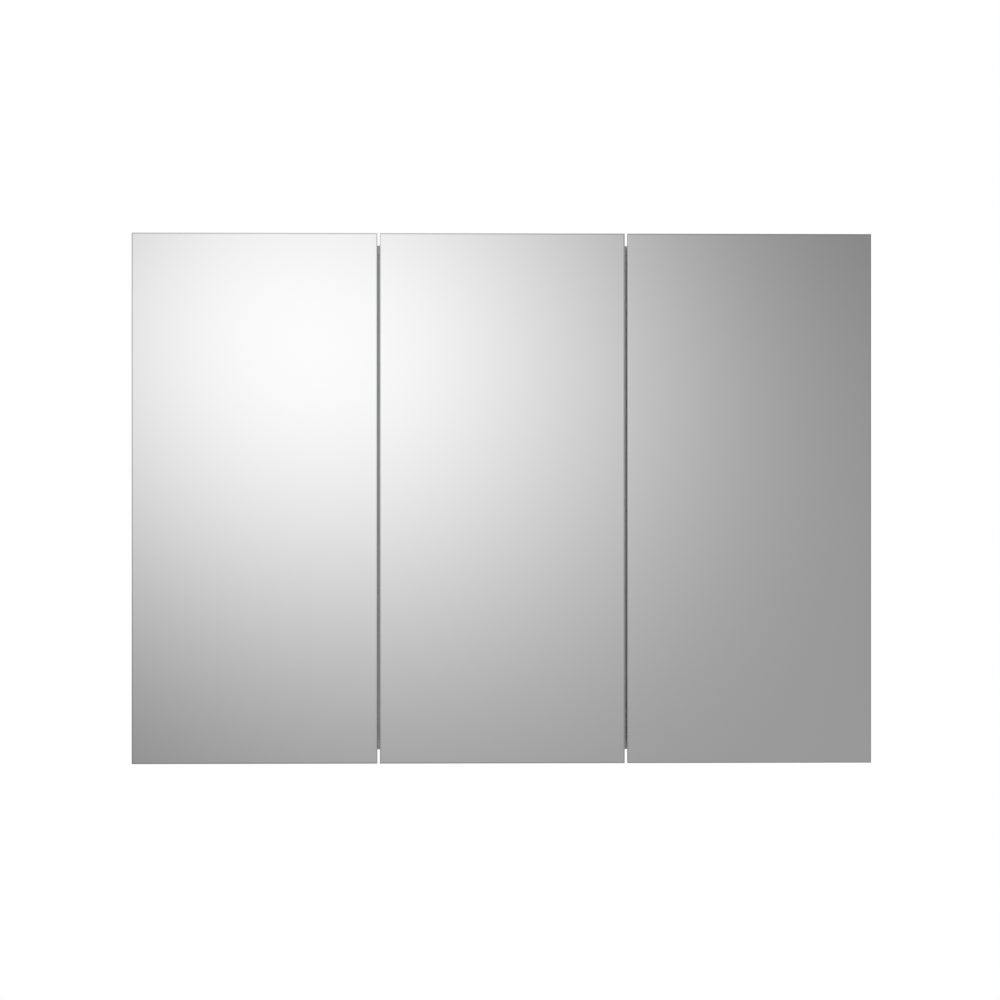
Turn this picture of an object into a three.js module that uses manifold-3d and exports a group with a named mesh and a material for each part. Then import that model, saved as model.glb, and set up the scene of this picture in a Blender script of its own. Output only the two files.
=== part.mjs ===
// Three-door mirror cabinet for a bathroom wall. Millimetres, +Z up, doors facing -Y, wall at Y = 0.
// The model is built round the middle of the doors and shifted at the end, so that the origin lies on
// the middle of the wall rail's back face.
import * as THREE from 'three';
import { mergeVertices } from 'three/addons/utils/BufferGeometryUtils.js';
import Module from 'manifold-3d';

const wasm = await Module();
wasm.setup();

// ---- Driving dimensions ----
const WIDTH = 914;              // over the three doors
const HEIGHT = 655;             // of the doors
const DEPTH = 132;              // wall to mirror face
const SEAM = 0.3;               // between pieces that touch

// Doors
const DOOR_GAP = 3.2;           // between neighbouring doors
const FRONT_GLASS = 4;
const BOARD_SKIN = 1.6;         // door board left in front of the hinge cups
const BOARD_INSET = 0.8;        // the mirror stands this far past its board
const INNER_GLASS = 3;
const INNER_GLASS_MARGIN = 4.9; // from the hinge cups
const INNER_GLASS_BORDER = 16;  // from the board's three other edges
const DOOR_CLEARANCE = 2;       // door back to cabinet front

// Cabinet body
const OVERHANG_SIDE = 4;        // doors past the body
const OVERHANG_TOP = 14;
const OVERHANG_BOTTOM = 16;
const SHEET = 2;                // aluminium sheet of the body
const FRONT_LIP = 12;           // folded front edge of the top and the bottom
const BACK_INSET = 12;          // back panel to the wall
const BODY_WALL_GAP = 2;        // sides to the wall
const PARTITION = 13;           // width of a partition's channel

// Shelves
const SHELF = 5;
const SHELF_END_GAP = 1.5;
const SHELF_FRONT_SET = 14;     // behind the body's front edge
const SHELF_BACK_GAP = 1.5;

// Rails and bumpers
const RAIL_SHEET = 2;
const RAIL_PLATE = 26;          // height of a rail's fixing plate
const RAIL_LIP = 14;
const RAIL_FIT = 0.6;           // round the lips
const RAIL_END_GAP = 20;
const RAIL_DROP = 50;           // cabinet rail's web below the body's top
const BUMPER_RADIUS = 9;
const BUMPER_INSET = 40;        // from the body's bottom corners

// Hinges: u runs from the door's hinge edge towards its free edge, v forward from the door's back
const HINGE_INSET = 90;         // from the door's top and bottom
const CUP_RADIUS = 17.4;
const CUP_EDGE = 5.1;           // door edge to cup
const CUP_DEPTH = 11.8;
const CUP_WALL = 0.7;
const CUP_FLOOR = 0.8;
const CUP_LIP = 0.9;            // rim above the door's back
const EAR_REACH = 27;           // cup middle to the end of its fixing ears
const EAR_HALF = 7;
const EAR_SHEET = 1;
const OUTER_ARM_PIVOT = [30, -12.5];
const INNER_ARM_PIVOT = [36.25, -3.25];
const CUP_WIDE = 2 * CUP_RADIUS;
const CUP_ROOM = CUP_DEPTH - CUP_FLOOR;
const inCup = (across, deep) => [CUP_EDGE + across * CUP_WIDE, deep * CUP_ROOM];
const OUTER_CUP_PIVOT = inCup(0.12356, 0.33636);
const INNER_CUP_PIVOT = inCup(0.25718, 0.50455);
const OUTER_HOOK = [
  inCup(0.141, 0.618), inCup(0.204, 0.809), inCup(0.302, 0.773), inCup(0.417, 0.545), inCup(0.494, 0.227),
  [22.8, -2], [23.2, -7], [25.6, -11],
];
const INNER_HOOK = [
  inCup(0.359, 0.745), inCup(0.486, 0.845), inCup(0.629, 0.809), inCup(0.744, 0.6), inCup(0.807, 0.291),
  inCup(0.83, 0),
];
const LINK_HALF = 1;            // half the thickness of a link
const RIBBON_STEPS = 20;
const LINK_SIDE = [0.5, 5.5];   // a link's two faces, from the hinge's middle
const PIN_RADIUS = 0.9;
const PIN_FIT = 0.3;
const EYE_RADIUS = 2.1;
const FORK_INNER = 6.2;         // arm cheeks, from the hinge's middle
const FORK_OUTER = 8.2;
const ARM_SHEET = 2;
const ARM_RISE = 7.5;           // the arm's underside to its top
const ARM_FORK = -23;           // v where the arm's floor gives way to the fork
const ARM_NECK = 3.5;           // start of the fork's cheeks, in from the arm's front corner
const ARM_BOSS = 2.9;           // half the width of the cheeks, and their round ends
const RIVET_RADIUS = 1.7;
const RIVET_HEAD = 0.7;
const ARM_TAIL = -62;
const PLATE_HALF = 8;
const PLATE_FRONT = -26;
const PLATE_LEAST = 13.2;       // thickness of the thinnest mounting plate
const WING = 2.5;               // thickness of a mounting plate's wings
const WING_REACH = 27;
const WING_CENTRE = -41;
const WING_HALF = 8;
const CLEAR = 60;               // reach of a cutting block, past anything that it cuts

// ---- Derived places ----
const board = CUP_DEPTH + SEAM + BOARD_SKIN;
const doorThickness = board + SEAM + FRONT_GLASS;
const doorWidth = (WIDTH - 2 * DOOR_GAP) / 3;
const doorBack = -(DEPTH - doorThickness);
const bodyFront = doorBack + DOOR_CLEARANCE;
const bodyHalf = WIDTH / 2 - OVERHANG_SIDE;
const bodyTop = HEIGHT / 2 - OVERHANG_TOP;
const bodyBottom = -HEIGHT / 2 + OVERHANG_BOTTOM;
const bodyMiddle = (bodyTop + bodyBottom) / 2;
const shelfRise = (bodyTop - bodyBottom) / 6;
const backRear = -BACK_INSET;
const backFront = backRear - SHEET;
const innerHalf = bodyHalf - SHEET;
const partitionMiddle = (doorWidth + DOOR_GAP) / 2;
const railWeb = bodyTop - RAIL_DROP;
const lipSlot = RAIL_SHEET + 2 * RAIL_FIT;
const wallWebTop = railWeb - RAIL_LIP - RAIL_FIT;
const mountHeight = wallWebTop - RAIL_PLATE / 2;
const cupMiddle = CUP_EDGE + CUP_RADIUS;
const hingeHeights = [HEIGHT / 2 - HINGE_INSET, -HEIGHT / 2 + HINGE_INSET];
const sideFace = OVERHANG_SIDE + SHEET;
const partitionFace = (PARTITION - DOOR_GAP) / 2;
const armBase = Math.max(sideFace, partitionFace) + SEAM + PLATE_LEAST;
const armTop = armBase + ARM_RISE;

// ---- Finishes ----
const finish = (color, roughness, metalness) => (
  new THREE.MeshStandardMaterial({ color, roughness, metalness }));
const mirror = finish(0xd9dcde, 0.03, 1);
const anodised = finish(0xb9bcbf, 0.38, 1);
const lacquer = finish(0xe9e9e6, 0.4, 0);
const glass = finish(0xcfe3dc, 0.05, 0);
const steel = finish(0xa9abad, 0.25, 1);
const rubber = finish(0x3a3a3a, 0.8, 0);

// ---- Solids ----
function toSolid(geometry) {
  const bare = geometry.clone();
  bare.deleteAttribute('normal');
  bare.deleteAttribute('uv');
  const merged = mergeVertices(bare);
  return new wasm.Manifold(new wasm.Mesh({
    numProp: 3,
    vertProperties: merged.attributes.position.array,
    triVerts: new Uint32Array(merged.index.array),
  }));
}

function toGeometry(solid) {
  const { vertProperties, triVerts } = solid.getMesh();
  const geometry = new THREE.BufferGeometry();
  geometry.setAttribute('position', new THREE.BufferAttribute(vertProperties, 3));
  geometry.setIndex(new THREE.BufferAttribute(triVerts, 1));
  geometry.computeVertexNormals();
  return geometry;
}

// Joins some geometries to the first and then cuts others from it.
function combine(first, { add = [], cut = [] }) {
  let solid = toSolid(first);
  for (const geometry of add) solid = solid.add(toSolid(geometry));
  for (const geometry of cut) solid = solid.subtract(toSolid(geometry));
  return toGeometry(solid);
}

// A box from its spans along x, y and z; a span's ends may come in either order.
function block(x, y, z) {
  const size = [x, y, z].map(([a, b]) => Math.abs(b - a));
  const middle = [x, y, z].map(([a, b]) => (a + b) / 2);
  return new THREE.BoxGeometry(...size).translate(...middle);
}

// An outline in x and y, drawn out along z.
function profile(points, [z0, z1]) {
  const shape = new THREE.Shape(points.map(([x, y]) => new THREE.Vector2(x, y)));
  return new THREE.ExtrudeGeometry(shape, { depth: z1 - z0, bevelEnabled: false }).translate(0, 0, z0);
}

// A section drawn in y and z, run along x: it is drawn flat, then z is turned to x and x to y.
function crosswise(section, span) {
  return profile(section, span).rotateY(Math.PI / 2).rotateX(Math.PI / 2);
}

// A round bar along z.
function rod([x, y], radius, [z0, z1], sides = 14) {
  return new THREE.CylinderGeometry(radius, radius, z1 - z0, sides)
    .rotateX(Math.PI / 2)
    .translate(x, y, (z0 + z1) / 2);
}

// A round bar along y.
function drum([x, z], radius, [y0, y1], sides = 36) {
  return new THREE.CylinderGeometry(radius, radius, Math.abs(y1 - y0), sides).translate(x, (y0 + y1) / 2, z);
}

const cabinet = new THREE.Group();

function place(parent, name, geometry, material) {
  const mesh = new THREE.Mesh(geometry, material);
  mesh.name = name;
  parent.add(mesh);
}

// ---- Cabinet body: folded aluminium sheet, with the top and the bottom turned over at the front ----
function bodyPanels() {
  const depth = [bodyFront, -BODY_WALL_GAP];
  const across = [-innerHalf + SEAM, innerHalf - SEAM];
  const between = [bodyBottom + SHEET + SEAM, bodyTop - SHEET - SEAM];
  for (const [name, side] of [['left_side', -1], ['right_side', 1]]) {
    place(cabinet, name, block([side * innerHalf, side * bodyHalf], depth, [bodyBottom, bodyTop]), anodised);
  }
  for (const [name, edge, inward] of [['top_panel', bodyTop, -1], ['bottom_panel', bodyBottom, 1]]) {
    const [face, lip] = [edge + inward * SHEET, edge + inward * FRONT_LIP];
    const section = [
      [depth[1], edge], [depth[1], face], [bodyFront + SHEET, face], [bodyFront + SHEET, lip],
      [bodyFront, lip], [bodyFront, edge],
    ];
    place(cabinet, name, crosswise(section, across), anodised);
  }
  place(cabinet, 'back_panel', block(across, [backFront, backRear], between), anodised);
}

// Each partition is a channel behind the front lips, with its open side to the back panel.
function partitions() {
  const half = PARTITION / 2;
  const front = bodyFront + SHEET + SEAM;
  const rear = backFront - SEAM;
  const upright = [bodyBottom + SHEET + SEAM, bodyTop - SHEET - SEAM];
  for (const [name, side] of [['left_partition', -1], ['right_partition', 1]]) {
    const channel = profile([
      [-half, front], [half, front], [half, rear], [half - SHEET, rear],
      [half - SHEET, front + SHEET], [-half + SHEET, front + SHEET],
      [-half + SHEET, rear], [-half, rear],
    ], upright).translate(side * partitionMiddle, 0, 0);
    place(cabinet, name, channel, anodised);
  }
}

// ---- Shelves: two glass plates in each compartment ----
function shelves() {
  const half = PARTITION / 2;
  const bays = [
    ['left', -innerHalf, -partitionMiddle - half],
    ['middle', -partitionMiddle + half, partitionMiddle - half],
    ['right', partitionMiddle + half, innerHalf],
  ];
  const depth = [bodyFront + SHELF_FRONT_SET, backFront - SHELF_BACK_GAP];
  for (const [bay, left, right] of bays) {
    for (const [level, rise] of [['upper', shelfRise], ['lower', -shelfRise]]) {
      const height = bodyMiddle + rise;
      const across = [left + SHELF_END_GAP, right - SHELF_END_GAP];
      const sheet = block(across, depth, [height - SHELF / 2, height + SHELF / 2]);
      place(cabinet, `${bay}_${level}_shelf`, sheet, glass);
    }
  }
}

// ---- Rails: two interlocking hooked strips, and bumpers that keep the body upright ----
function rails() {
  const half = innerHalf - RAIL_END_GAP;
  const plateRear = backRear + SEAM + RAIL_SHEET;
  const lipRear = -RAIL_FIT;
  const cabinetRail = [
    [backRear + SEAM, railWeb + RAIL_PLATE], [backRear + SEAM, railWeb], [lipRear - RAIL_SHEET, railWeb],
    [lipRear - RAIL_SHEET, railWeb - RAIL_LIP], [lipRear, railWeb - RAIL_LIP],
    [lipRear, railWeb + RAIL_SHEET], [plateRear, railWeb + RAIL_SHEET], [plateRear, railWeb + RAIL_PLATE],
  ];
  const wallRail = [
    [0, wallWebTop - RAIL_PLATE], [0, wallWebTop], [-lipSlot, wallWebTop], [-lipSlot, railWeb - SEAM],
    [-lipSlot - RAIL_SHEET, railWeb - SEAM], [-lipSlot - RAIL_SHEET, wallWebTop - RAIL_SHEET],
    [-RAIL_SHEET, wallWebTop - RAIL_SHEET], [-RAIL_SHEET, wallWebTop - RAIL_PLATE],
  ];
  for (const [name, section] of [['cabinet_rail', cabinetRail], ['wall_rail', wallRail]]) {
    place(cabinet, name, crosswise(section, [-half, half]), anodised);
  }
}

function bumpers() {
  for (const [name, side] of [['left_bumper', -1], ['right_bumper', 1]]) {
    const centre = [side * (bodyHalf - BUMPER_INSET), bodyBottom + BUMPER_INSET];
    const foot = drum(centre, BUMPER_RADIUS, [backRear + SEAM, 0]);
    place(cabinet, name, foot, rubber);
  }
}

// ---- Doors: front mirror, board and inner mirror ----
function door({ name, left, hand }) {
  const right = left + doorWidth;
  const middle = (left + right) / 2;
  const hingeEdge = middle + hand * doorWidth / 2;
  const boardSpan = [left + BOARD_INSET, right - BOARD_INSET];
  const boardHeight = HEIGHT / 2 - BOARD_INSET;
  const innerSpan = [hingeEdge - hand * (cupMiddle + CUP_RADIUS + INNER_GLASS_MARGIN),
    middle - hand * (doorWidth / 2 - BOARD_INSET - INNER_GLASS_BORDER)];
  const innerHeight = boardHeight - INNER_GLASS_BORDER;
  const grow = Math.sign(innerSpan[1] - innerSpan[0]) * SEAM;
  const recess = block([innerSpan[0] - grow, innerSpan[1] + grow],
    [doorBack - INNER_GLASS - SEAM, doorBack + CLEAR], [-innerHeight - SEAM, innerHeight + SEAM]);
  const boreSpan = [doorBack - CUP_DEPTH - SEAM, doorBack + CLEAR];
  const bores = hingeHeights.map((height) => (
    drum([hingeEdge - hand * cupMiddle, height], CUP_RADIUS + SEAM, boreSpan)));
  const front = block([left, right], [-DEPTH, -DEPTH + FRONT_GLASS], [-HEIGHT / 2, HEIGHT / 2]);
  const blank = block(boardSpan, [doorBack - board, doorBack], [-boardHeight, boardHeight]);
  const inner = block(innerSpan, [doorBack - INNER_GLASS, doorBack], [-innerHeight, innerHeight]);
  place(cabinet, `${name}_mirror`, front, mirror);
  place(cabinet, `${name}_core`, combine(blank, { cut: [recess, ...bores] }), lacquer);
  place(cabinet, `${name}_inner_mirror`, inner, mirror);
}

// ---- Concealed cup hinges, in u (times hand) and v, with z along the pins ----
// A flat bar of even thickness that follows a smooth curve through its points.
function ribbon(points, half, span) {
  const curve = new THREE.SplineCurve(points.map(([x, y]) => new THREE.Vector2(x, y)));
  const near = [];
  const far = [];
  for (let i = 0; i <= RIBBON_STEPS; i += 1) {
    const point = curve.getPoint(i / RIBBON_STEPS);
    const tangent = curve.getTangent(i / RIBBON_STEPS);
    near.push([point.x - tangent.y * half, point.y + tangent.x * half]);
    far.unshift([point.x + tangent.y * half, point.y - tangent.x * half]);
  }
  return profile([...near, ...far], span);
}

// A link is a hooked bar with an eye at each end. The outer link lies above the hinge's middle and the
// inner link below it, so that they pass each other.
function link(path, span) {
  const ends = [path[0], path[path.length - 1]];
  return combine(ribbon(path, LINK_HALF, span), {
    add: ends.map((end) => rod(end, EYE_RADIUS, span)),
    cut: ends.map((end) => rod(end, PIN_RADIUS + PIN_FIT, [-CLEAR, CLEAR])),
  });
}

// The cup is pressed into the door; two ears hold it, and each link's pin stands out from its wall.
function cup(flip) {
  const [u] = flip([cupMiddle, 0]);
  const wallAt = (pivot) => Math.sqrt(CUP_RADIUS ** 2 - (cupMiddle - pivot[0] + PIN_RADIUS) ** 2);
  const ears = block([u - EAR_HALF, u + EAR_HALF], [-SEAM - EAR_SHEET, -SEAM], [-EAR_REACH, EAR_REACH]);
  const hollow = drum([u, 0], CUP_RADIUS - CUP_WALL, [-CLEAR, CUP_ROOM]);
  const passage = block([u - CLEAR, u + CLEAR], [-CLEAR, 0], [-FORK_OUTER - 1, FORK_OUTER + 1]);
  const blank = drum([u, 0], CUP_RADIUS, [-CUP_LIP, CUP_DEPTH]);
  const shell = combine(blank, { add: [ears], cut: [hollow, passage] });
  return combine(shell, {
    add: [
      rod(flip(OUTER_CUP_PIVOT), PIN_RADIUS, [LINK_SIDE[0] - SEAM, wallAt(OUTER_CUP_PIVOT)]),
      rod(flip(INNER_CUP_PIVOT), PIN_RADIUS, [-wallAt(INNER_CUP_PIVOT), -LINK_SIDE[0] + SEAM]),
    ],
  });
}

// The arm is a channel that opens into a fork. The outer link's pin crosses the fork; the inner link's
// pivot is a rivet head on each cheek.
function arm(flip) {
  const whole = [-FORK_OUTER, FORK_OUTER];
  const inside = [-FORK_INNER, FORK_INNER];
  const levels = [armBase, armBase + ARM_SHEET, armTop, CLEAR];
  const [under, floor, top, beyond] = levels.map((u) => flip([u, 0])[0]);
  const neck = [armBase + ARM_NECK, ARM_FORK - ARM_NECK];
  const body = combine(block([under, top], [ARM_TAIL, ARM_FORK], whole), {
    add: [
      ribbon([neck, OUTER_ARM_PIVOT, INNER_ARM_PIVOT].map(flip), ARM_BOSS, whole),
      rod(flip(neck), ARM_BOSS, whole),
      rod(flip(INNER_ARM_PIVOT), ARM_BOSS, whole),
    ],
    cut: [
      block([0, beyond], [ARM_FORK, CLEAR], inside),
      block([floor, beyond], [ARM_TAIL - CLEAR, CLEAR], inside),
    ],
  });
  return combine(body, {
    add: [
      rod(flip(OUTER_ARM_PIVOT), PIN_RADIUS, whole),
      rod(flip(INNER_ARM_PIVOT), RIVET_RADIUS, [FORK_INNER, FORK_OUTER + RIVET_HEAD]),
      rod(flip(INNER_ARM_PIVOT), RIVET_RADIUS, [-FORK_OUTER - RIVET_HEAD, -FORK_INNER]),
    ],
  });
}

// The mounting plate packs the space between the upright and the arm.
function plate(flip, face) {
  const levels = [face + SEAM, face + SEAM + WING, armBase - SEAM];
  const [foot, wingTop, top] = levels.map((u) => flip([u, 0])[0]);
  const bar = block([foot, top], [ARM_TAIL, PLATE_FRONT], [-PLATE_HALF, PLATE_HALF]);
  const wings = block([foot, wingTop], [WING_CENTRE - WING_HALF, WING_CENTRE + WING_HALF],
    [-WING_REACH, WING_REACH]);
  return combine(bar, { add: [wings] });
}

function hinges({ name, left, hand, face }) {
  const hingeEdge = left + (hand > 0 ? doorWidth : 0);
  const flip = ([u, v]) => [hand * u, v];
  const levels = ['upper', 'lower'];
  const outerPath = [OUTER_CUP_PIVOT, ...OUTER_HOOK, OUTER_ARM_PIVOT];
  const innerPath = [INNER_CUP_PIVOT, ...INNER_HOOK, INNER_ARM_PIVOT];
  hingeHeights.forEach((height, i) => {
    const stem = `${name}_${levels[i]}`;
    const hinge = new THREE.Group();
    hinge.position.set(hingeEdge, doorBack, height);
    hinge.rotation.z = Math.PI;
    cabinet.add(hinge);
    place(hinge, `${stem}_plate`, plate(flip, face), steel);
    place(hinge, `${stem}_arm`, arm(flip), steel);
    place(hinge, `${stem}_outer_link`, link(outerPath.map(flip), LINK_SIDE), steel);
    place(hinge, `${stem}_inner_link`, link(innerPath.map(flip), [-LINK_SIDE[1], -LINK_SIDE[0]]), steel);
    place(hinge, `${stem}_cup`, cup(flip), steel);
  });
}

// hand is the side the door hangs on (+1 right); face is where its upright's face lies in u.
const doors = [
  { name: 'left_door', left: -WIDTH / 2, hand: -1, face: sideFace },
  { name: 'middle_door', left: -doorWidth / 2, hand: -1, face: partitionFace },
  { name: 'right_door', left: WIDTH / 2 - doorWidth, hand: 1, face: sideFace },
];

bodyPanels();
partitions();
shelves();
rails();
bumpers();
for (const each of doors) {
  door(each);
  hinges(each);
}

cabinet.position.z = -mountHeight;
const group = new THREE.Group();
group.add(cabinet);

export default group;
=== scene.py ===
# Three-door mirror cabinet for a bathroom wall: aluminium body, glass shelves, concealed cup hinges.
# Metres, +Z up, doors facing -Y, wall at y = 0, origin on the back of the wall rail.
import math

import bmesh
import bpy
from mathutils import Matrix, Vector


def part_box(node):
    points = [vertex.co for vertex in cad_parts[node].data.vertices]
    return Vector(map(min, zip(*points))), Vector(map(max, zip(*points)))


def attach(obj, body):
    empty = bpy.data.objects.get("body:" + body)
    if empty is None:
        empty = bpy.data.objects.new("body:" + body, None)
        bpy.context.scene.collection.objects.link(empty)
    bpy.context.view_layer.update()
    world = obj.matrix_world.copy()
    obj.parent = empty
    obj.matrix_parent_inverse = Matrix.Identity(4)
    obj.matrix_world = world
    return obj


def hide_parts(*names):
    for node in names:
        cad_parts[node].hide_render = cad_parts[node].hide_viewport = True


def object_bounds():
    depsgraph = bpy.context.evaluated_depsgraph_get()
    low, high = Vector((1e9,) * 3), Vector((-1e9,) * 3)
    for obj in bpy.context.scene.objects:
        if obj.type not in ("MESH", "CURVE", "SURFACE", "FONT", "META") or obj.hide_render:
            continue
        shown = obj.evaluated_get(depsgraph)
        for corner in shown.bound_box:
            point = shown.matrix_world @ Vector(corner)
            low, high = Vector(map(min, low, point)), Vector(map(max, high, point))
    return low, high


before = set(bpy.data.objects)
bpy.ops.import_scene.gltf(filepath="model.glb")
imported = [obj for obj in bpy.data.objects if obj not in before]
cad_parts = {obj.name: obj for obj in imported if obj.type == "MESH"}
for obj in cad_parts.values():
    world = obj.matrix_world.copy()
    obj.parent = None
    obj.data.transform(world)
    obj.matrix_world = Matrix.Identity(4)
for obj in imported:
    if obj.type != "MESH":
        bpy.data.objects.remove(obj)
CAD_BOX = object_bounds()

# ---------------------------------------------------------------------------------------------------
# Wall rail and cabinet rail: two hooked strips of extruded aluminium, left in mill finish, sawn to
# length. The cabinet rail hooks over the lip of the wall rail.
MM = 0.001
RAIL_EDGE = 0.3 * MM
DIE_LINES = 0.8 * MM
DIE_STRETCH = 200
WELD = 0.001 * MM
OUTLINE_SLACK = 0.01 * MM
# An edge flatter than the first angle lies within a flat face, one sharper than the second is eased, and
# one sharper than the third breaks the shading.
FLAT_ANGLE = math.radians(0.5)
EASED_ANGLE = math.radians(35)
BREAK_ANGLE = math.radians(25)
# Most of a noise's values lie in this range.
NOISE_SPAN = {"From Min": 0.3, "From Max": 0.7}


def linear(hex_colour):
    """An sRGB hex colour as the linear values that a shader takes."""
    channels = [int(hex_colour[i:i + 2], 16) / 255 for i in (1, 3, 5)]
    return [c / 12.92 if c <= 0.04045 else ((c + 0.055) / 1.055) ** 2.4 for c in channels] + [1.0]


def add_node(tree, kind, settings):
    """Adds a node. A setting is a property or an input, and an input given a node or socket is linked."""
    node = tree.nodes.new(kind)
    for key, value in settings.items():
        if isinstance(value, bpy.types.Node):
            value = next(output for output in value.outputs if output.enabled)
        if isinstance(value, bpy.types.NodeSocket):
            tree.links.new(value, node.inputs[key])
        elif isinstance(key, int) or key in node.inputs:
            node.inputs[key].default_value = value
        else:
            setattr(node, key, value)
    return node


def new_material(name):
    """An empty material, its node tree, and the place on the piece in metres along x, y and z."""
    material = bpy.data.materials.new(name)
    material.use_nodes = True
    tree = material.node_tree
    tree.nodes.clear()
    return material, tree, add_node(tree, "ShaderNodeTexCoord", {}).outputs["Object"]


def dress(name, mesh, materials, body, stands_for=()):
    """Makes a mesh a piece of the object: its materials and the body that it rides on. Flat
    faces stay flat to the eye, because the normals follow the largest face at each corner."""
    piece = bpy.data.objects.new(name, mesh)
    bpy.context.scene.collection.objects.link(piece)
    piece.modifiers.new("flat_faces", "WEIGHTED_NORMAL").keep_sharp = True
    for material in materials:
        mesh.materials.append(material)
    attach(piece, body)
    if stands_for:
        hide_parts(*stands_for)
    return piece


def shade(bm):
    """Smooth faces, with a break at every sharp edge."""
    for face in bm.faces:
        face.smooth = True
    for edge in bm.edges:
        edge.smooth = edge.calc_face_angle(math.pi) < BREAK_ANGLE


def to_mesh(bm, name):
    mesh = bpy.data.meshes.new(name)
    bm.to_mesh(mesh)
    bm.free()
    return mesh


def eased(node, width, segments=2, outline=False):
    """A CAD node's mesh with whole faces, and with every sharp edge eased by the width, or only those
    round the outline that it has from the front."""
    bm = bmesh.new()
    bm.from_mesh(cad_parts[node].data)
    bmesh.ops.remove_doubles(bm, verts=bm.verts, dist=WELD)
    bmesh.ops.dissolve_limit(bm, angle_limit=FLAT_ANGLE, verts=bm.verts, edges=bm.edges)
    sharp = [e for e in bm.edges if e.is_manifold and e.calc_face_angle(0) > EASED_ANGLE]
    if outline:
        low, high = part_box(node)
        sides = set()
        for vert in bm.verts:
            inside = (vert.co.x - low.x, high.x - vert.co.x, vert.co.z - low.z, high.z - vert.co.z)
            if min(inside) < OUTLINE_SLACK:
                sides.add(vert)
        sharp = [e for e in sharp if sides.issuperset(e.verts)]
    bmesh.ops.bevel(bm, geom=sharp, offset=width, segments=segments, profile=0.5, affect="EDGES",
                    clamp_overlap=True, loop_slide=False)
    shade(bm)
    return to_mesh(bm, node)


# Extruded 6063 alloy as it leaves the die: grey, a little dull, with fine lines along its length. The
# lines are drawn coarser than the real ones so that they show.
mill_aluminium, tree, place = new_material("mill_aluminium")
drawn = add_node(tree, "ShaderNodeMapping", {
    "Vector": place, "Scale": (1 / (DIE_STRETCH * DIE_LINES), 1 / DIE_LINES, 1 / DIE_LINES)})
lines = add_node(tree, "ShaderNodeTexNoise", {"Vector": drawn, "Scale": 1.0, "Detail": 3.0})
tone = add_node(tree, "ShaderNodeMapRange", {"Value": lines, **NOISE_SPAN})
colour = add_node(tree, "ShaderNodeMix", {
    "data_type": "RGBA", 0: tone, 6: linear("#9C9EA0"), 7: linear("#BEC0C2")})
gloss = add_node(tree, "ShaderNodeMapRange", {
    "Value": lines, **NOISE_SPAN, "To Min": 0.3, "To Max": 0.46})
relief = add_node(tree, "ShaderNodeBump", {"Height": lines, "Distance": 0.02 * MM})
shader = add_node(tree, "ShaderNodeBsdfPrincipled", {
    "Base Color": colour, "Metallic": 1.0, "Roughness": gloss, "Normal": relief})
add_node(tree, "ShaderNodeOutputMaterial", {"Surface": shader})

for rail in ("wall_rail", "cabinet_rail"):
    dress(rail + "_strip", eased(rail, RAIL_EDGE), [mill_aluminium], "cabinet", [rail])

# ---------------------------------------------------------------------------------------------------
# Rail fixings: four zinc-plated pan-head screws hold the wall rail to the wall, and six aluminium blind
# rivets hold the cabinet rail to the back panel.
WALL_SCREW_RADIUS = 4.4 * MM
WALL_SCREW_HEIGHT = 2.6 * MM
RIVET_RADIUS = 3.2 * MM
RIVET_HEIGHT = 0.8 * MM
RAIL_SHEET = 2 * MM
RAIL_PLATE = 26 * MM
WALL_SCREW_RISE = 0.42 * RAIL_PLATE
WALL_SCREW_PLACES = (-0.36, -0.12, 0.12, 0.36)
RAIL_RIVET_DROP = 0.35 * RAIL_PLATE
RAIL_RIVET_PLACES = (-0.4, -0.24, -0.08, 0.08, 0.24, 0.4)
CROSS_TIP = 0.62
CROSS_WAIST = 0.2


def turned(profile, sides=28):
    """A mesh turned round z from (radius, height) points; the ends lie on the axis."""
    bm = bmesh.new()
    rings = []
    for radius, height in profile:
        if radius == 0:
            rings.append([bm.verts.new((0, 0, height))])
            continue
        turns = [2 * math.pi * i / sides for i in range(sides)]
        rings.append([bm.verts.new((radius * math.cos(a), radius * math.sin(a), height)) for a in turns])
    for low, high in zip(rings, rings[1:]):
        for i in range(sides):
            j = i + 1
            corners = [low[i % len(low)], low[j % len(low)], high[j % len(high)], high[i % len(high)]]
            bm.faces.new(list(dict.fromkeys(corners)))
    bmesh.ops.recalc_face_normals(bm, faces=bm.faces)
    shade(bm)
    return to_mesh(bm, "turned")


def screw_head(radius, height):
    """A low domed head with a cross recess, standing on z = 0."""
    sides = 32
    cross = [CROSS_TIP if i % 8 in (7, 0, 1) else CROSS_WAIST for i in range(sides)]
    even = [1.0] * sides
    levels = [(even, 1.0, 0.0), (even, 1.0, 0.3), (even, 0.93, 0.7), (even, 0.78, 1.0), (cross, 1.0, 1.0),
              (cross, 0.8, 0.35)]
    bm = bmesh.new()
    rings = []
    for outline, scale, level in levels:
        ring = []
        for i, reach in enumerate(outline):
            turn = 2 * math.pi * i / sides
            across = radius * scale * reach
            ring.append(bm.verts.new((across * math.cos(turn), across * math.sin(turn), height * level)))
        rings.append(ring)
    for low, high in zip(rings, rings[1:]):
        for i in range(sides):
            j = (i + 1) % sides
            bm.faces.new([low[i], low[j], high[j], high[i]])
    for ring in (rings[0], rings[-1]):
        bm.faces.new(ring)
    bmesh.ops.recalc_face_normals(bm, faces=bm.faces)
    shade(bm)
    return to_mesh(bm, "screw_head")


def rivet_head(radius, height):
    """A low dome with the dimple that the drawn mandrel leaves."""
    return turned([(0, 0), (radius, 0), (radius * 0.97, height * 0.35), (radius * 0.8, height * 0.78),
                   (radius * 0.5, height), (radius * 0.38, height * 0.95), (radius * 0.34, height * 0.4),
                   (0, height * 0.4)])


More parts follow.
